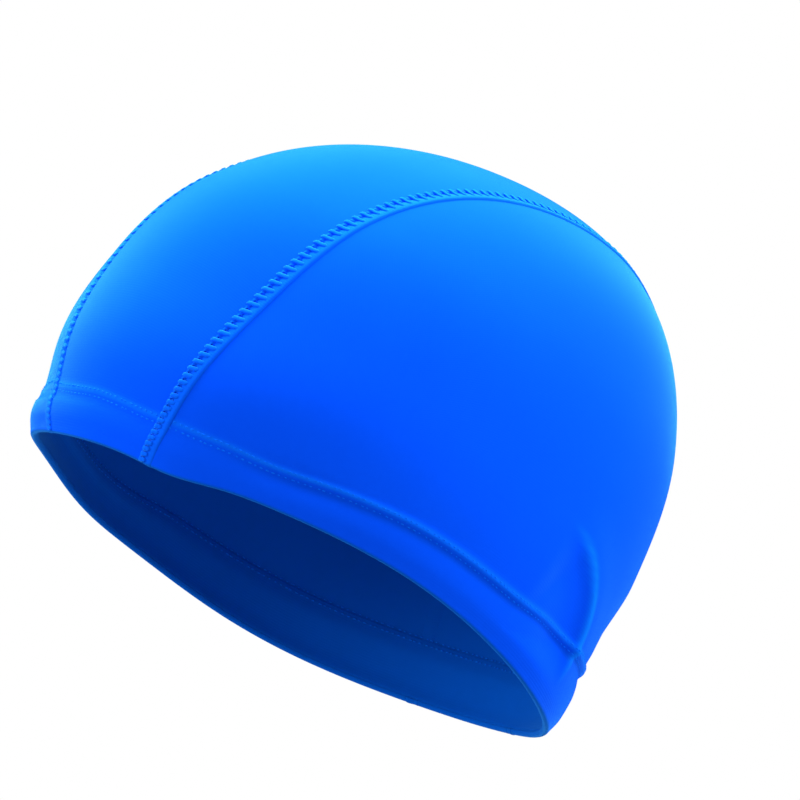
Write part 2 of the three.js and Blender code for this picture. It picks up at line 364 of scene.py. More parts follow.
# Faces of a closed band of rings: stations along, an even number of points round each.
# The end rings are closed by pairing each point with the one across the wall.
def bandQuads(stations, count):
    j, k = np.meshgrid(np.arange(stations - 1), np.arange(count), indexing="ij")
    n = (k + 1) % count
    sides = np.stack([j * count + k, j * count + n, (j + 1) * count + n, (j + 1) * count + k], -1)
    e = np.arange(count // 2 - 1)
    cap = np.stack([e + 1, e, count - 1 - e, count - 2 - e], -1)
    far = cap[:, ::-1] + (stations - 1) * count
    return np.concatenate([sides.reshape(-1, 4), cap, far])


def loopQuads(stations, count):  # the same, with the last ring joined to the first
    j, k = np.meshgrid(np.arange(stations), np.arange(count), indexing="ij")
    n, m = (k + 1) % count, (j + 1) % stations
    sides = np.stack([j * count + k, j * count + n, m * count + n, m * count + k], -1)
    return sides.reshape(-1, 4)


def pathLengths(points):  # along the first axis, from 0
    steps = np.linalg.norm(np.diff(points, axis=0), axis=-1)
    return np.concatenate([np.zeros_like(steps[:1]), np.cumsum(steps, axis=0)])


def addGroup(name, inputs, outputs):
    group = bpy.data.node_groups.new(name, "ShaderNodeTree")
    for label, kind, value in inputs:
        socket = group.interface.new_socket(label, in_out="INPUT", socket_type=kind)
        if value is not None:
            socket.default_value = value
    for label, kind in outputs:
        group.interface.new_socket(label, in_out="OUTPUT", socket_type=kind)
    start = group.nodes.new("NodeGroupInput")
    end = group.nodes.new("NodeGroupOutput")
    start.location, end.location = (-900, 0), (700, 0)
    return group, start, end


def mathNode(tree, kind, first, second=None, clamp=False):
    node = tree.nodes.new("ShaderNodeMath")
    node.operation = kind
    node.use_clamp = clamp
    for i, value in enumerate((first, second)):
        if value is None:
            continue
        if hasattr(value, "is_linked"):
            tree.links.new(value, node.inputs[i])
        else:
            node.inputs[i].default_value = value
    return node.outputs[0]


knit = {
    "wales": 9000.0,  # radians a metre, across
    "courses": 7500.0,  # and along
    "waleHeight": 0.7,
    "courseHeight": 0.4,
    "lean": 2.4,
    "bump": 0.6,
}

dye = {
    "slow": 28.0,
    "fine": 420.0,
    "detail": 3.0,
    "slowShare": 0.65,
}


# Knitted loops: wales as the height of a sine across, and courses as a sine along that
# leans to both sides of each wale.
def knitGroup():
    group, start, end = addGroup(
        "knitLoops",
        [("Vector", "NodeSocketVector", None), ("Wales", "NodeSocketFloat", knit["wales"]),
         ("Courses", "NodeSocketFloat", knit["courses"])],
        [("Height", "NodeSocketFloat")])
    parts = group.nodes.new("ShaderNodeSeparateXYZ")
    group.links.new(start.outputs["Vector"], parts.inputs[0])
    across = mathNode(group, "MULTIPLY", parts.outputs[0], start.outputs["Wales"])
    wale = mathNode(group, "ABSOLUTE", mathNode(group, "SINE", across))
    along = mathNode(group, "MULTIPLY", parts.outputs[1], start.outputs["Courses"])
    lean = mathNode(group, "ADD", along, mathNode(group, "MULTIPLY", wale, knit["lean"]))
    course = mathNode(group, "MULTIPLY", mathNode(group, "SINE", lean), knit["courseHeight"])
    total = mathNode(group, "ADD", mathNode(group, "MULTIPLY", wale, knit["waleHeight"]), course)
    group.links.new(total, end.inputs["Height"])
    return group


# Slow and fine unevenness of dyed cloth, as two noises of which the slow one is stronger.
def unevenGroup():
    group, start, end = addGroup(
        "unevenDye",
        [("Vector", "NodeSocketVector", None), ("Slow", "NodeSocketFloat", dye["slow"]),
         ("Fine", "NodeSocketFloat", dye["fine"])],
        [("Shade", "NodeSocketFloat")])
    shades = []
    for label in ("Slow", "Fine"):
        noise = group.nodes.new("ShaderNodeTexNoise")
        noise.inputs["Detail"].default_value = dye["detail"]
        group.links.new(start.outputs["Vector"], noise.inputs["Vector"])
        group.links.new(start.outputs[label], noise.inputs["Scale"])
        shades.append(noise.outputs["Fac"])
    slow = mathNode(group, "MULTIPLY", shades[0], dye["slowShare"])
    fine = mathNode(group, "MULTIPLY", shades[1], 1 - dye["slowShare"])
    group.links.new(mathNode(group, "ADD", slow, fine), end.inputs["Shade"])
    return group


knitLoops = knitGroup()
unevenDye = unevenGroup()

# Colours are linear.
clothLook = {
    "light": (0.0015, 0.088, 1.0),
    "deep": (0.001, 0.074, 0.95),
    # The inner face's colours are darker than the outer ones: partly the knit back's own duller
    # tone, partly painted shade inside the cap.
    "innerLight": (0.0015, 0.095, 0.55),
    "innerDeep": (0.001, 0.078, 0.47),
    # Painted shade in the groove under the hem's lip and in the step beside each seam.
    "groove": (0.001, 0.07, 0.74),
    # Painted shade in the ovals between a seam's bars.
    "paintedOvalShade": (0.0005, 0.025, 0.36),
    # Painted highlight on the hem's lip and on the sharp fold's crest.
    "paintedHighlight": (0.003, 0.18, 1.0),
    "seamLight": (0.003, 0.122, 1.0),
    "seamDeep": (0.001, 0.1, 0.95),
    "roughness": 0.5,
    "hemRoughness": 0.55,
    "seamRoughness": 0.48,
    "roughSpread": 0.16,  # how far the roughness changes with the dye
    "specular": 0.0,
    "sheen": 0.5,
    "sheenRoughness": 0.35,
    "sheenTint": (0.07, 0.46, 1.0),
    "weaveDepth": 0.00003,
    "seamWeaveDepth": 0.00006,
}

# The dark ovals of painted shade between a seam's bars: their middle and half width across it, in
# metres, how much shorter than a stitch they are, and how large and how sharp.
paintedShadeOvals = {
    "middle": -0.0011,
    "halfWidth": 1 / 1080.0,
    "shortness": 2.7,
    "size": 1.15,
    "sharpness": 2.0,
}

threadLook = {
    "light": ((0.003, 0.14, 1.0), (0.002, 0.11, 0.98)),  # the light and the deep shade of each
    "hem": ((0.003, 0.17, 1.0), (0.002, 0.13, 1.0)),
    # The inner threads are darker, like the inner face: partly its duller tone, partly painted shade
    # inside the cap.
    "inner": ((0.003, 0.14, 0.75), (0.002, 0.11, 0.65)),
    "slow": 160.0,
    "fine": 2400.0,
    "roughness": 0.45,
    "roughSpread": 0.2,
    "bump": 0.5,
    "twistDepth": 0.00006,
}


def mixColours(tree, factor, first, second):
    mix = tree.nodes.new("ShaderNodeMix")
    mix.data_type = "RGBA"
    for socket, value in ((mix.inputs[0], factor), (mix.inputs[6], first), (mix.inputs[7], second)):
        if hasattr(value, "is_linked"):
            tree.links.new(value, socket)
        elif isinstance(value, tuple):
            socket.default_value = (*value, 1)
        else:
            socket.default_value = value
    return mix.outputs[2]


def newMaterial(name):
    material = bpy.data.materials.new(name)
    material.use_nodes = True
    tree = material.node_tree
    return material, tree, tree.nodes.new("ShaderNodeTexCoord")


def readMark(tree, name):  # a number that is stored at each point of the mesh
    node = tree.nodes.new("ShaderNodeAttribute")
    node.attribute_name = name
    return node.outputs["Fac"]


def dyeShade(tree, coords, slow, fine):
    uneven = tree.nodes.new("ShaderNodeGroup")
    uneven.node_tree = unevenDye
    uneven.inputs["Slow"].default_value = slow
    uneven.inputs["Fine"].default_value = fine
    tree.links.new(coords.outputs["Object"], uneven.inputs["Vector"])
    return uneven.outputs["Shade"]


# What cloth and thread share: a colour, a roughness, a bump, and the cloth's own shine, which
# is a blue sheen without a glossy coat.
def dressShader(tree, colour, rough, height, bump, depth):
    shader = tree.nodes["Principled BSDF"]
    tree.links.new(colour, shader.inputs["Base Color"])
    tree.links.new(rough, shader.inputs["Roughness"])
    relief = tree.nodes.new("ShaderNodeBump")
    relief.inputs["Strength"].default_value = bump
    relief.inputs["Distance"].default_value = depth
    tree.links.new(height, relief.inputs["Height"])
    tree.links.new(relief.outputs["Normal"], shader.inputs["Normal"])
    shader.inputs["Specular IOR Level"].default_value = clothLook["specular"]
    shader.inputs["Sheen Weight"].default_value = clothLook["sheen"]
    shader.inputs["Sheen Roughness"].default_value = clothLook["sheenRoughness"]
    shader.inputs["Sheen Tint"].default_value = (*clothLook["sheenTint"], 1)


# Painted shade in the dark ovals between the bars of stitches: an oval's size less the squares of
# the way from its middle along and across the seam.
def paintedStitchShade(tree, uv):
    parts = tree.nodes.new("ShaderNodeSeparateXYZ")
    tree.links.new(uv, parts.inputs[0])
    aside = mathNode(tree, "SUBTRACT", parts.outputs[0], paintedShadeOvals["middle"])
    aside = mathNode(tree, "MULTIPLY", aside, 1 / paintedShadeOvals["halfWidth"])
    along = mathNode(tree, "SUBTRACT", mathNode(tree, "FRACT", readMark(tree, "stitch")), 0.5)
    along = mathNode(tree, "MULTIPLY", along, paintedShadeOvals["shortness"])
    squares = mathNode(tree, "ADD", mathNode(tree, "MULTIPLY", aside, aside),
                       mathNode(tree, "MULTIPLY", along, along))
    rest = mathNode(tree, "SUBTRACT", paintedShadeOvals["size"], squares)
    return mathNode(tree, "MULTIPLY", rest, paintedShadeOvals["sharpness"], clamp=True)


# Satin knit: the two shades of each face mixed by the uneven dye; the inner face's darker colour,
# partly painted shade, where the mark innerFaceAndRimShade is 1, which also paints shade on the
# rims' rolls; painted shade and painted highlight along lines where those marks are 1; and the loops
# as a bump.
def clothMaterial(name, shades=("light", "deep"), roughness=clothLook["roughness"],
                  depth=clothLook["weaveDepth"], stitched=False):
    material, tree, coords = newMaterial(name)
    light, deep = (clothLook[key] for key in shades)
    shade = dyeShade(tree, coords, dye["slow"], dye["fine"])
    outer = mixColours(tree, shade, deep, light)
    # Painted shade in the groove under the lip and beside the seams, then painted highlight on the
    # lip and the fold's crest.
    outer = mixColours(tree, readMark(tree, "paintedShade"), outer, clothLook["groove"])
    outer = mixColours(tree, readMark(tree, "paintedHighlight"), outer, clothLook["paintedHighlight"])
    inner = mixColours(tree, shade, clothLook["innerDeep"], clothLook["innerLight"])
    if stitched:
        # Painted shade in the ovals between the seam's bars.
        paintedOvalShade = paintedStitchShade(tree, coords.outputs["UV"])
        outer = mixColours(tree, paintedOvalShade, outer, clothLook["paintedOvalShade"])
    # The inner face's darker colour, partly painted shade, also paints shade on the rims' rolls.
    both = mixColours(tree, readMark(tree, "innerFaceAndRimShade"), outer, inner)
    spread = clothLook["roughSpread"]
    rough = mathNode(tree, "ADD", mathNode(tree, "MULTIPLY", shade, spread), roughness - spread / 2)
    loops = tree.nodes.new("ShaderNodeGroup")
    loops.node_tree = knitLoops
    tree.links.new(coords.outputs["UV"], loops.inputs["Vector"])
    dressShader(tree, both, rough, loops.outputs["Height"], knit["bump"], depth)
    return material


# Spun thread: a fine unevenness of the dye, as colour and as a bump.
def threadMaterial(name, kind):
    material, tree, coords = newMaterial(name)
    light, deep = threadLook[kind]
    shade = dyeShade(tree, coords, threadLook["slow"], threadLook["fine"])
    spread = mathNode(tree, "MULTIPLY", shade, threadLook["roughSpread"])
    rough = mathNode(tree, "ADD", spread, threadLook["roughness"])
    dressShader(tree, mixColours(tree, shade, deep, light), rough, shade, threadLook["bump"],
                threadLook["twistDepth"])
    return material


centreCloth = clothMaterial("centreCloth")
sideCloth = clothMaterial("sideCloth")
hemCloth = clothMaterial("hemCloth", roughness=clothLook["hemRoughness"])
seamCloth = clothMaterial("seamCloth", ("seamLight", "seamDeep"), clothLook["seamRoughness"],
                          clothLook["seamWeaveDepth"], stitched=True)
lightThread = threadMaterial("lightThread", "light")
hemThread = threadMaterial("hemThread", "hem")
innerThread = threadMaterial("innerThread", "inner")
print("materials made")

panels = {
    "columns": 49,  # across the centre panel
    "fine": 0.6,  # spacing near the rim, over the hem
    "coarse": 1.4,
    "hemZone": 32.0,
    "length": 370.0,  # from rim to rim over the crown, about
    "sideColumns": 300,
    "sideLength": 140.0,  # from the seam down to the rim, about
    "sideFineZone": 28.0,
    "sideCoarseRows": 78,
    "sideEnds": (0.006, 0.994),  # of the seam's line, between which the columns start
    "cornerGap": 1.2,  # from there to the rim's corners, across
    "rollSteps": 9,
    # Painted shade under the rim: the roll takes the inner face's darker colour between these
    # radians.
    "rimShadeTurns": (0.1, 0.8),  # radians of the roll between which it takes the inner shade
}
rollTurns = np.linspace(0, math.pi, panels["rollSteps"] + 1)[1:]
stations = endDenseShares(panels["length"], panels["fine"], panels["hemZone"], panels["coarse"])

# How strongly shade and highlight are painted along the cloth's lines, and how wide, in millimetres.
paintedLineMarks = {
    "groove": 0.7,
    "lip": 0.55,
    "lipAt": 0.4,
    "lipWidth": 0.8,
    "crestWidth": 1.3,
}


# Painted shade: the cloth is coloured darker in the groove under the hem's lip, where shade falls.
def paintedShadeMarks(fore, left):  # up to 1 in the groove under the hem's lip, and 0 away from it
    around = np.arctan2(left, fore)
    over = heights(fore, left) - hemHeights(around)
    grown = smoothStep(*cloth["lipGrows"], np.abs(np.degrees(around)))
    strength = paintedLineMarks["groove"] * grown
    return strength * np.exp(-(((over - cloth["grooveAt"]) / cloth["grooveWidth"]) ** 2))


# Painted highlight: the cloth is coloured paler on the hem's lip and on the crest of the sharp fold,
# where light catches them.
def paintedHighlightMarks(fore, left):
    around = np.arctan2(left, fore)
    over = heights(fore, left) - hemHeights(around)
    fromLip = (over - paintedLineMarks["lipAt"]) / paintedLineMarks["lipWidth"]
    lip = paintedLineMarks["lip"] * np.exp(-(fromLip ** 2))
    fade, past = creasePlace(np.degrees(around), 1 - np.hypot(fore, left), heights(fore, left))
    return np.maximum(lip, fade * np.exp(-((past / paintedLineMarks["crestWidth"]) ** 2)))


# A face of lines from rim to rim, with the rim's roll added at both ends of each line.
def withRolls(fore, left, face, radius):
    turn = np.broadcast_to(rollTurns, (len(fore), len(rollTurns)))
    rolls = []
    for i in (0, -1):
        ends = [np.repeat(v[:, i, None], turn.shape[1], axis=1) for v in (fore, left)]
        rolls.append(rimRoll(*ends, turn, radius))
    return np.concatenate([rolls[0][:, ::-1], face, rolls[1]], axis=1)


# Painted shade under the rim: the rolls grow to the inner face's darker colour.
def innerFaceAndRimShadeMarks(count, columns):  # 0 outside, growing to 1 in the rolls, and 1 on the inner face
    outside = np.zeros((count, columns))
    into = smoothStep(*panels["rimShadeTurns"], rollTurns)[:, None]
    outside[:len(rollTurns)] = into[::-1]
    outside[-len(rollTurns):] = into
    return np.concatenate([outside, np.ones_like(outside)], axis=1)


# The centre panel: lines at shares of the seam's distance, each from rim to rim over the
# crown, with the outer face, the rim's rolls and the inner face as one closed wall.
def makeCentrePanel():
    shares = np.linspace(-1, 1, panels["columns"])
    size = np.abs(shares)
    fore, left = lengthwiseLines(size, -seamPlan["under"] * size, stations)
    left = left * np.sign(shares)[:, None]
    radius, wall = cloth["foldRadius"], cloth["wall"]
    outer = withRolls(fore, left, clothPoints(fore, left, 0.0), radius)
    inner = withRolls(fore, left, clothPoints(fore, left, -wall), radius - wall)
    rings = np.concatenate([outer, inner[::-1]]).transpose(1, 0, 2)
    count = len(stations) + 2 * len(rollTurns)
    along = pathLengths(outer[len(shares) // 2])[:, None] * np.ones(len(shares))
    across = np.broadcast_to(shares * seamPlan["atCrown"], along.shape)
    uv = np.stack([across, along], -1) / 1000
    uv = np.concatenate([uv, uv[:, ::-1]], axis=1)
    pad = ((len(rollTurns), len(rollTurns)), (0, 0))
    marks = {"innerFaceAndRimShade": innerFaceAndRimShadeMarks(count, len(shares))}
    # Painted shade in the groove and painted highlight on the lip and crest, on the outer face only.
    for key, values in (("paintedShade", paintedShadeMarks(fore, left)), ("paintedHighlight", paintedHighlightMarks(fore, left))):
        outside = np.pad(values.T, pad)
        marks[key] = np.concatenate([outside, outside * 0], axis=1)
    quads = bandQuads(count, 2 * len(shares))
    return makeMesh("centrePanel", place(rings), quads, uv, marks, centreCloth)


# A side panel: columns from the seam's edge down to the rim, straight on the disc, then
# round the rim's roll and up the inner face again.
def makeSidePanel(name, side):
    edgeShares = np.linspace(*panels["sideEnds"], panels["sideColumns"])
    edge = lengthwiseLines(1.0, seamPlan["under"], edgeShares)
    edge = np.stack([edge[0][0], edge[1][0]], -1)
    rim = lengthwiseLines(1.0, seamPlan["under"] + panels["cornerGap"], np.array([0.0, 1.0]))
    angles = np.arctan2(rim[1][0], rim[0][0])
    turn = np.linspace(angles[0], angles[1], 2000)
    path = domePoints(rimStart * np.cos(turn), rimStart * np.sin(turn))
    length = pathLengths(path)
    evenly = np.interp(np.linspace(0, length[-1], len(edge)), length, turn)
    foot = rimStart * np.stack([np.cos(evenly), np.sin(evenly)], -1)
    fineRows = np.arange(0, panels["sideFineZone"], panels["fine"]) / panels["sideLength"]
    restFrom = panels["sideFineZone"] / panels["sideLength"]
    restRows = np.linspace(restFrom, 1, panels["sideCoarseRows"])
    rows = np.concatenate([fineRows, restRows])[::-1, None, None]
    disc = foot[None] * (1 - rows) + edge[None] * rows
    fore, left = disc[..., 0], disc[..., 1] * side
    turns = np.broadcast_to(rollTurns[:, None], (len(rollTurns), len(edge)))
    ends = [np.broadcast_to(v[-1], turns.shape) for v in (fore, left)]
    faces = []
    for depth in (0.0, cloth["wall"]):
        roll = rimRoll(*ends, turns, cloth["foldRadius"] - depth)
        faces.append(np.concatenate([clothPoints(fore, left, -depth), roll]))
    outer, inner = faces
    rings = np.concatenate([outer, inner[::-1]]).transpose(1, 0, 2)
    down = pathLengths(outer[:, len(edge) // 2])[:, None] * np.ones(len(edge))
    along = np.linspace(0, length[-1], len(edge))[None, :] * np.ones(down.shape)
    uv = (np.stack([along, down], -1) / 1000).transpose(1, 0, 2)
    uv = np.concatenate([uv, uv[:, ::-1]], axis=1)
    innerFaceAndRimShade = np.zeros(down.shape)
    # Painted shade under the rim, as on the centre panel.
    innerFaceAndRimShade[-len(rollTurns):] = smoothStep(*panels["rimShadeTurns"], rollTurns)[:, None]
    innerFaceAndRimShade = np.concatenate([innerFaceAndRimShade.T, np.ones_like(innerFaceAndRimShade.T)], axis=1)
    marks = {"innerFaceAndRimShade": innerFaceAndRimShade}
    # Painted shade in the groove and painted highlight on the lip and crest, on the outer face only.
    for key, values in (("paintedShade", paintedShadeMarks(fore, left)), ("paintedHighlight", paintedHighlightMarks(fore, left))):
        outside = np.pad(values, ((0, len(rollTurns)), (0, 0))).T
        marks[key] = np.concatenate([outside, outside * 0], axis=1)
    quads = bandQuads(len(edge), rings.shape[1])
    return makeMesh(name, place(rings), quads, uv, marks, sideCloth)


centrePanel = makeCentrePanel()
leftPanel = makeSidePanel("leftPanel", 1)
rightPanel = makeSidePanel("rightPanel", -1)
for piece, node, slot in ((centrePanel, "centre_panel", "centre_cloth"),
                          (leftPanel, "left_panel", "side_cloth"),
                          (rightPanel, "right_panel", "side_cloth")):
    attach(piece, "root")
    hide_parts(node)
print("panels made")

# Across the seam, from the centre panel's side: how far the band stands over the cloth.
seamBand = {
    "across": [-2.35, -2.15, -1.9, -1.65, -1.4, -1.1, -0.8, -0.5, -0.2, 0.15, 0.6, 1.05, 1.45,
               1.8, 2.05, 2.25, 2.35],
    "rise": [-0.15, 0.08, 0.16, 0.12, 0.02, -0.05, 0.02, 0.12, 0.22, 0.32, 0.44, 0.52, 0.5,
             0.34, 0.02, -0.12, -0.15],
    "inner": 0.12,  # how far it stands out on the inner face
    "atRim": 0.3,  # how much of its height is left at the rim
    "riseGrows": (2, 16),  # heights over the rim between which it gets its full height
    "innerRadius": 0.03,  # of its roll at the rim, inside
    # Painted shade in the step beside the seam, with less of it on the crown:
    "stepAt": 2.1,  # the dark step beside it, and its width
    "stepWidth": 0.3,
    "stepFade": 0.3,  # how much of the dark is gone on the crown
    "stepFades": (10, 40),
    "rimPitch": 1.75,  # of the stitches, at the rim
    "morePitch": 1.4,  # added to it on the crown
    "pitchGrows": (0, 55),
}


# How many stitches lie behind each point of a path: their spacing grows with the height
# above the rim, where the cloth is stretched less than at the hem.
def stitchCounts(length, height):
    more = seamBand["morePitch"] * smoothStep(*seamBand["pitchGrows"], height)
    pitch = seamBand["rimPitch"] + more
    rate = 1 / pitch
    steps = (rate[1:] + rate[:-1]) / 2 * np.diff(length)
    return np.concatenate([[0], np.cumsum(steps)])


# A seam: a band of lines at distances across it, whose sections rise over the cloth on both
# faces and roll over the rim, with painted shade in the step beside it.
def makeSeam(name, side):
    across = np.array(seamBand["across"])
    rise = np.array(seamBand["rise"])
    fore, left = lengthwiseLines(np.ones_like(across), across, stations)
    left = left * side
    atRim = seamBand["atRim"]
    fading = atRim + (1 - atRim) * smoothStep(*seamBand["riseGrows"], heights(fore, left))
    low = np.minimum(rise, 0)
    rise, rimRise = low[:, None] + (rise - low)[:, None] * fading, low + (rise - low) * atRim
    hump = np.sin(np.linspace(0, math.pi, len(across))) ** 0.5
    below = -cloth["wall"] - seamBand["inner"] * (2 * hump - 1)
    outerRadii = cloth["foldRadius"] + rimRise[:, None]
    outer = withRolls(fore, left, clothPoints(fore, left, rise), outerRadii)
    innerFace = clothPoints(fore, left, below[:, None])
    inner = withRolls(fore, left, innerFace, seamBand["innerRadius"])
    rings = np.concatenate([outer, inner[::-1]]).transpose(1, 0, 2)
    count = len(rings)
    middle = len(across) // 2
    along = pathLengths(outer[middle])[:, None] * np.ones(len(across))
    uv = np.stack([np.broadcast_to(across, along.shape), along], -1) / 1000
    uv = np.concatenate([uv, uv[:, ::-1]], axis=1)
    level = np.pad(heights(fore[middle], left[middle]), len(rollTurns), mode="edge")
    # Painted shade in the step beside the seam, fading on the crown.
    step = np.exp(-(((across - seamBand["stepAt"]) / seamBand["stepWidth"]) ** 2))
    paintedShade = step * (1 - seamBand["stepFade"] * smoothStep(*seamBand["stepFades"], level))[:, None]
    counts = stitchCounts(along[:, 0], level)[:, None]
    marks = {
        "innerFaceAndRimShade": innerFaceAndRimShadeMarks(count, len(across)),
        "paintedShade": np.concatenate([paintedShade, paintedShade * 0], axis=1),
        "stitch": np.repeat(counts, 2 * len(across), axis=1),
    }
    quads = bandQuads(count, 2 * len(across))
    return makeMesh(name, place(rings), quads, uv, marks, seamCloth)


leftSeam = makeSeam("leftSeam", 1)
rightSeam = makeSeam("rightSeam", -1)
for piece, node in ((leftSeam, "left_seam"), (rightSeam, "right_seam")):
    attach(piece, "root")
    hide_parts(node)
print("seams made")

hemPly = {
    "columns": 560,
    "rows": 16,
    "start": 0.9,  # height where it comes out of the rim's roll
    "outer": -1.5,  # its faces, from the cloth's outer face
    "inner": -2.46,
    "edge": 0.2,  # rounding of its top edge
    "thinning": 0.55,  # how much thinner it is at that edge
    "pressed": 0.24,  # how far that edge is pressed out, into the cloth
}


# The ply that is folded up inside the rim: a ring whose section runs up its inner face,
# over a rounded top edge and down its outer face.
def makeTurnedHem():
    around = np.arange(hemPly["columns"]) * 2 * math.pi / hemPly["columns"]
    top = hemHeights(around)
    rise = np.linspace(0, 1, hemPly["rows"])
    bend = np.linspace(0, math.pi, 7)[1:-1]
    middle = (hemPly["outer"] + hemPly["inner"]) / 2
    half = (hemPly["outer"] - hemPly["inner"]) / 2
    low, edge = hemPly["start"], hemPly["edge"]
    straight = low + (top[:, None] - edge - low) * rise
    rounded = top[:, None] - edge + edge * np.sin(bend)
    level = np.concatenate([straight, rounded, straight[:, ::-1]], axis=1)
    thinning, pressed = hemPly["thinning"], hemPly["pressed"]
    half = half - thinning / 2
    middle = middle + thinning / 2
    innerFace = hemPly["inner"] + (thinning + pressed) * smoothStep(0.7, 1, rise)
    outerFace = hemPly["outer"] + pressed * smoothStep(0.8, 1, rise)
    topEdge = middle + pressed - half * np.cos(bend)
    offset = np.concatenate([innerFace, topEdge, outerFace[::-1]])
    reach = 1 - upAt(level)
    fore, left = reach * np.cos(around)[:, None], reach * np.sin(around)[:, None]
    points = clothPoints(fore, left, offset)
    along = pathLengths(points[:, 0])[:, None] * np.ones(level.shape[1])
    uv = np.stack([along, level], -1) / 1000
    innerFaceAndRimShade = np.ones(level.shape)
    quads = loopQuads(*level.shape)
    return makeMesh("turnedHem", place(points), quads, uv, {"innerFaceAndRimShade": innerFaceAndRimShade, "paintedShade": innerFaceAndRimShade * 0},
                    hemCloth)


turnedHem = makeTurnedHem()
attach(turnedHem, "root")
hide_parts("turned_hem")
print("turned hem made")


# Threads: short cords, each on its own row of points, with a rounded taper at both ends.
# Rings stand square to the path, and flat is their height over their width.
def makeThreads(name, paths, normals, radius, flat, material):
    count, steps, sides = *paths.shape[:2], 6
    along = unit(np.gradient(paths, axis=1))
    aside = unit(np.cross(along, normals))
    upward = np.cross(aside, along) * flat
    t = np.linspace(-1, 1, steps)
    taper = np.sqrt(np.maximum(1 - t ** 4, 0.02))[None, :, None, None]
    a = np.arange(sides) * 2 * math.pi / sides
    ring = aside[:, :, None] * np.cos(a)[:, None] + upward[:, :, None] * np.sin(a)[:, None]
    points = paths[:, :, None] + ring * taper * radius
    firsts = np.arange(count) * steps * sides
    quads = bandQuads(steps, sides)[None] + firsts[:, None, None]
    piece = makeMesh(name, place(points), quads.reshape(-1, 4), material=material)
    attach(piece, "root")
    return piece


seamStitches = {
    "radius": 0.76,
    "flat": 0.36,
    "across": [-2.9, -2.4, -1.75, -1.1, -0.4, 0.35, 0.95],
    "rise": [-0.1, 0.26, 0.32, 0.2, 0.26, 0.38, 0.32],
    "lean": 1.0,  # how far each bar runs along the seam between its ends
    "rimShare": 0.6,  # how much of a bar's length is left at the rim
    "grows": (4, 45),  # heights over the rim between which a bar gets its full length
}


# The ladder of threads over the needle line: one bar at each stitch, laid over the band, and
# drawn in about that line where the seam narrows towards the rim.
def makeLadder(name, side):
    across = np.array(seamStitches["across"])
    rise = np.array(seamStitches["rise"])
    dense = np.linspace(0, 1, 1200)
    fore, left = lengthwiseLines(np.ones_like(across), across, dense)
    left = left * side
    needle = len(across) // 2
    length = pathLengths(clothPoints(fore[needle], left[needle], 0.0))
    level = heights(fore[needle], left[needle])
    counts = stitchCounts(length, level)
    share = np.interp(np.arange(math.floor(counts[-1]) + 1), counts, dense)
    narrow = seamStitches["rimShare"]
    grown = smoothStep(*seamStitches["grows"], np.interp(share, dense, level))
    narrow = narrow + (1 - narrow) * grown
    step = seamStitches["lean"] / length[-1]
    where = share[:, None] + np.linspace(-0.5, 0.5, len(across)) * step * narrow[:, None]
    target = across[needle] + (across - across[needle]) * narrow[:, None]
    k = np.clip(np.searchsorted(across, target, side="right") - 1, 0, len(across) - 2)
    t = (target - across[k]) / (across[k + 1] - across[k])
    points = []
    for line in (fore, left):
        every = np.stack([np.interp(where, dense, one) for one in line], -1)
        first, second = (np.take_along_axis(every, (k + n)[..., None], -1)[..., 0] for n in (0, 1))
        points.append(first * (1 - t) + second * t)
    paths = clothPoints(*points, rise * (0.5 + 0.5 * narrow[:, None]))
    return makeThreads(name, paths, domeNormals(*points), seamStitches["radius"],
                       seamStitches["flat"], lightThread)


hemStitches = {
    "length": 1.0,
    "pitch": 1.95,
    "radius": 0.22,
    "flat": 0.6,
    "arch": 0.06,
    "uneven": 0.2,  # how far a stitch is off its place, as a share of the pitch
    "longer": (0.6, 1.3),  # the least and the most of the length
    # Each row's height over the hem's edge, and how far its outer and inner stitches lie from
    # the cloth's outer face.
    "rows": [(0.6, 0.02, -1.3), (-1.4, -0.06, -1.95)],
}


# A row of short stitches round the hem, at a height over its top edge. Each is off its place
# and longer or shorter by chance, and arched away from the cloth's middle.
def makeHemRow(name, over, distance, material, shift):
    turn = np.linspace(0, 2 * math.pi, 6001)
    reach = 1 - upAt(hemHeights(turn) + over)
    line = clothPoints(reach * np.cos(turn), reach * np.sin(turn), 0.0)
    length = pathLengths(line)
    count = int(round(length[-1] / hemStitches["pitch"]))
    chance = np.random.default_rng(7)
    uneven = chance.uniform(-hemStitches["uneven"], hemStitches["uneven"], count)
    centres = (np.arange(count) + shift + uneven) * length[-1] / count
    longer = hemStitches["length"] * chance.uniform(*hemStitches["longer"], count)
    spread = np.linspace(-0.5, 0.5, 6)[None, :] * longer[:, None]
    around = np.interp(centres[:, None] + spread, length, turn)
    reach = 1 - upAt(hemHeights(around) + over)
    fore, left = reach * np.cos(around), reach * np.sin(around)
    outward = 1 if distance > -1 else -1
    arch = hemStitches["arch"] * outward * np.cos(np.linspace(-1.5, 1.5, 6))
    paths = clothPoints(fore, left, distance + arch)
    return makeThreads(name, paths, domeNormals(fore, left), hemStitches["radius"],
                       hemStitches["flat"], material)


threads = {"leftLadder": makeLadder("leftLadder", 1), "rightLadder": makeLadder("rightLadder", -1)}
for i, (over, *distances) in enumerate(hemStitches["rows"]):
    for face, distance, thread in zip(("outer", "inner"), distances, (hemThread, innerThread)):
        rowName = f"{face}HemRow{i + 1}"
        threads[rowName] = makeHemRow(rowName, over, distance, thread, 0.5 * i)
print("stitches made")


studio = {
    "floorDrop": 0.3,
    "floorSize": 14.0,
    "floorGrey": 0.2,
    "floorRoughness": 0.9,
    "roomLight": 0.78,
    "lampAim": (0, 0, -0.08),
    "lamps": {  # place, size and power
        "topLamp": ((-0.68, 0.65, 1.35), 1.3, 145.0),
        "leftLamp": ((-0.95, -1.05, 0.35), 1.1, 16.0),
        "rightLamp": ((1.0, 1.1, 0.5), 1.1, 23.0),
    },
}


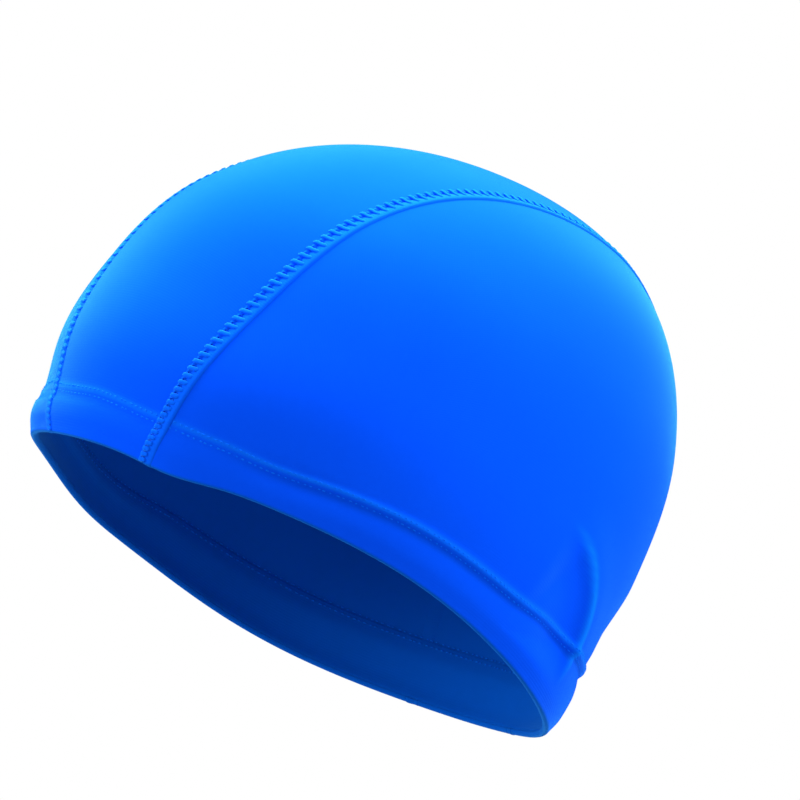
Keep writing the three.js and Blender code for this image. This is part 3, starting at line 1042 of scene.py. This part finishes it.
def cameraMix(tree, seen, lit, kind):  # one shader where the camera looks, and another for the light
    path = tree.nodes.new("ShaderNodeLightPath")
    mix = tree.nodes.new("ShaderNodeMixShader")
    tree.links.new(path.outputs["Is Camera Ray"], mix.inputs[0])
    tree.links.new(lit, mix.inputs[1])
    tree.links.new(seen, mix.inputs[2])
    tree.links.new(mix.outputs[0], tree.nodes[kind].inputs["Surface"])


def makeFloor():
    low = cadLow[2] - studio["floorDrop"]
    h = studio["floorSize"] / 2
    mesh = bpy.data.meshes.new("floor")
    mesh.from_pydata([(-h, -h, low), (h, -h, low), (h, h, low), (-h, h, low)], [], [(0, 1, 2, 3)])
    floor = bpy.data.objects.new("floor", mesh)
    bpy.context.scene.collection.objects.link(floor)
    material = bpy.data.materials.new("paleFloor")
    material.use_nodes = True
    tree = material.node_tree
    shader = tree.nodes["Principled BSDF"]
    shader.inputs["Base Color"].default_value = (*[studio["floorGrey"]] * 3, 1)
    shader.inputs["Roughness"].default_value = studio["floorRoughness"]
    white = tree.nodes.new("ShaderNodeEmission")
    cameraMix(tree, white.outputs[0], shader.outputs[0], "Material Output")
    mesh.materials.append(material)


def makeLamp(name, spot, size, power):
    data = bpy.data.lights.new(name, "AREA")
    data.shape = "SQUARE"
    data.size = size
    data.energy = power
    light = bpy.data.objects.new(name, data)
    light.location = spot
    light.rotation_mode = "QUATERNION"
    toAim = Vector(studio["lampAim"]) - Vector(spot)
    light.rotation_quaternion = toAim.to_track_quat("-Z", "Y")
    bpy.context.scene.collection.objects.link(light)


def makeRoom():
    world = bpy.data.worlds.new("studio")
    world.use_nodes = True
    tree = world.node_tree
    lit = tree.nodes["Background"]
    lit.inputs[0].default_value = (1, 1, 1, 1)
    lit.inputs[1].default_value = studio["roomLight"]
    white = tree.nodes.new("ShaderNodeBackground")
    white.inputs[0].default_value = (1, 1, 1, 1)
    cameraMix(tree, white.outputs[0], lit.outputs[0], "World Output")
    bpy.context.scene.world = world
    bpy.context.scene.view_settings.view_transform = "Standard"
    bpy.context.scene.view_settings.look = "None"


makeFloor()
makeRoom()
for lamp, (spot, size, power) in studio["lamps"].items():
    makeLamp(lamp, spot, size, power)

# The camera stands where the photograph was taken from. Directions are those of the cap as
# it is worn, and the aim lies to the right of and above the middle of the rim.
camera = {
    "back": (0.7211, -0.6425, 0.2595),
    "right": (0.6635, 0.7481, 0.0085),
    "up": (-0.1996, 0.1661, 0.9657),
    "distance": 3.257,
    "aimRight": 0.0284,
    "aimUp": 0.0586,
    "lens": 493.8,
}


def makeCamera():
    rim = Vector(place(np.zeros(3)))
    back, right, up = (Vector(camera[key]) for key in ("back", "right", "up"))
    aim = rim + right * camera["aimRight"] + up * camera["aimUp"]
    data = bpy.data.cameras.new("camera")
    data.lens = camera["lens"]
    data.sensor_width = 36
    data.clip_end = 50
    view = bpy.data.objects.new("camera", data)
    bpy.context.scene.collection.objects.link(view)
    view.location = rim + back * camera["distance"]
    outward = (view.location - aim).normalized()
    aside = up.cross(outward).normalized()
    turn = Matrix((aside, outward.cross(aside), outward)).transposed()
    view.rotation_mode = "QUATERNION"
    view.rotation_quaternion = turn.to_quaternion()
    bpy.context.scene.camera = view


makeCamera()
